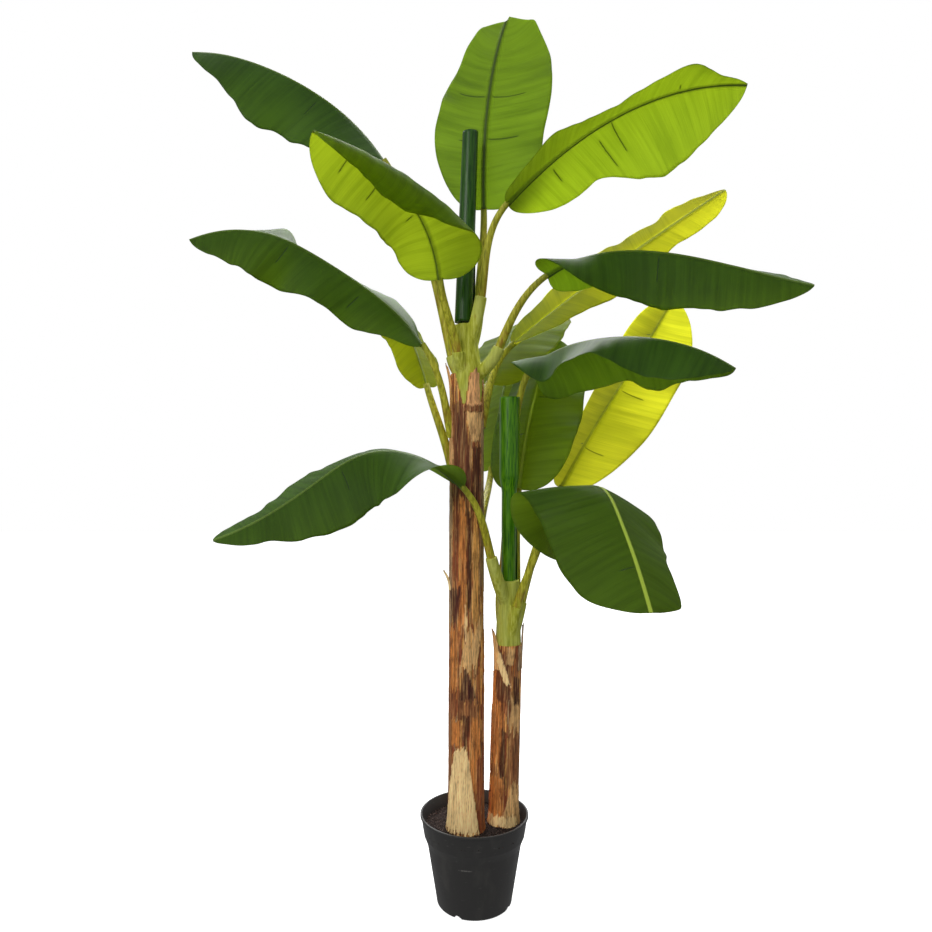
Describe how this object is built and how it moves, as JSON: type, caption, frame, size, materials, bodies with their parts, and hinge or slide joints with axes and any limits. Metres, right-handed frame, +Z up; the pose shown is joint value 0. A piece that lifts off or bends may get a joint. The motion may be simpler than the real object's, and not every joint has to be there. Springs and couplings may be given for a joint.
{
  "type": "artificial potted banana plant",
  "caption": "Artificial banana plant with two bark-wrapped stems, paddle leaves on stalks and rolled young leaves, standing in a round black plastic pot.",
  "frame": {"origin": "middle of the pot's flat underside", "axes": "+Z up, -Y towards the front that the picture shows, +X to its right"},
  "size_m": [1.1939, 0.768, 1.8608],
  "materials": {
    "pot_plastic": "black, satin",
    "granules": "dark loose granules",
    "bark": "fibrous brown bark",
    "sheath": "pale green, satin",
    "rolled_leaf": "green, coated",
    "stalk": "olive, satin",
    "leaf": "green, coated, translucent"
  },
  "bodies": {
    "root": {"pot": "pot_plastic", "pot_fill": "granules", "trunk_tall": "bark", "trunk_short": "bark", "crown_tall": "sheath", "crown_short": "sheath", "roll_tall": "rolled_leaf", "roll_short": "rolled_leaf", "stalk_upper_left": "stalk", "leaf_upper_left": "leaf", "stalk_near_left": "stalk", "leaf_near_left": "leaf", "stalk_top": "stalk", "leaf_top": "leaf", "stalk_upper_right": "stalk", "leaf_upper_right": "leaf", "stalk_mid_left": "stalk", "leaf_mid_left": "leaf", "stalk_back_left": "stalk", "leaf_back_left": "leaf", "stalk_mid_right": "stalk", "leaf_mid_right": "leaf", "stalk_far_right": "stalk", "leaf_far_right": "leaf", "stalk_back_right": "stalk", "leaf_back_right": "leaf", "stalk_low_back": "stalk", "leaf_low_back": "leaf", "stalk_bright": "stalk", "leaf_bright": "leaf", "stalk_short_right": "stalk", "leaf_short_right": "leaf", "stalk_short_back": "stalk", "leaf_short_back": "leaf", "stalk_short_front": "stalk", "leaf_short_front": "leaf", "stalk_short_left": "stalk", "leaf_short_left": "leaf", "bark_flap_left": "bark", "bark_flap_front": "bark", "bark_stub": "bark", "bark_flap_torn": "bark", "bark_strip": "bark"}
  },
  "joints": []
}
